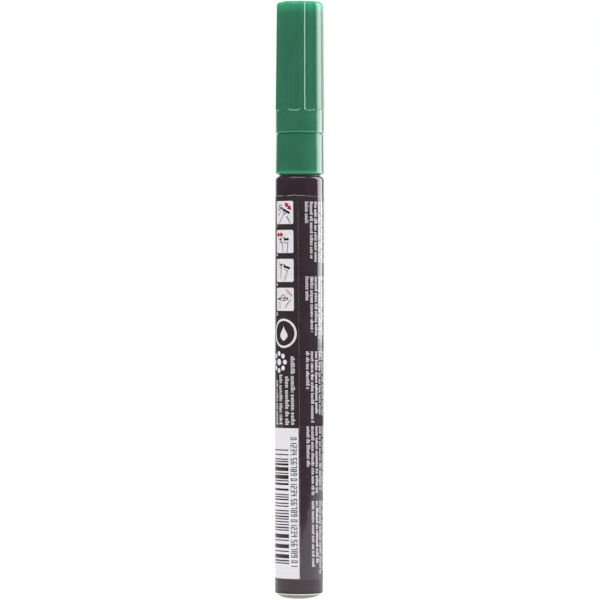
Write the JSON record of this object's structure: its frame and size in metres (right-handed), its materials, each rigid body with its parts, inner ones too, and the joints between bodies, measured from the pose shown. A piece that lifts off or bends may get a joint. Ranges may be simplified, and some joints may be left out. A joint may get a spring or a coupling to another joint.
{
  "type": "permanent marker",
  "caption": "Slim round marker: fluted green pull-off cap, black lacquered metal barrel with a printed wrap label, spring-loaded valve nib and a loose mixing ball.",
  "frame": {"origin": "centre of the flat that the base stands on", "axes": "+Z along the pen's axis from the base to the cap, front of the label towards -Y"},
  "size_m": [0.0114, 0.0114, 0.137],
  "materials": {
    "lacquered_barrel": "drawn aluminium in glossy black lacquer, bare satin metal on the domed base",
    "label_film": "glossy black plastic film with white print",
    "black_plastic": "moulded, satin",
    "felt": "pressed fibre",
    "seal_rubber": "moulded, matte",
    "natural_plastic": "moulded, unpigmented",
    "spring_steel": "drawn wire",
    "nib_fibre": "bonded fibre, ground to a bullet point",
    "green_plastic": "glossy moulded, green through",
    "seal_plastic": "soft moulded, unpigmented",
    "ball_steel": "polished"
  },
  "bodies": {
    "barrel": {"barrel_tube": "lacquered_barrel", "barrel_label": "label_film", "mouthpiece": "black_plastic", "ink_buffer": "felt", "valve_seat": "seal_rubber", "valve_housing": "natural_plastic", "valve_spring": "spring_steel"},
    "valve_stem": {"nib": "nib_fibre", "valve_plunger": "natural_plastic"},
    "cap": {"cap_shell": "green_plastic", "cap_inner_seal": "seal_plastic"},
    "ball": {"mixing_ball": "ball_steel"}
  },
  "joints": [
    {"name": "cap_pull", "type": "slide", "parent": "barrel", "child": "cap", "axis": [0, 0, 1], "range_m": [0, 0.045]},
    {"name": "nib_press", "type": "slide", "parent": "barrel", "child": "valve_stem", "axis": [0, 0, -1], "range_m": [0, 0.0015], "stiffness_N_per_m": 300, "springref_m": -0.001, "deforming": ["valve_spring"]},
    {"name": "ball_travel", "type": "slide", "parent": "barrel", "child": "ball", "axis": [0, 0, 1], "range_m": [0, 0.0745]}
  ]
}
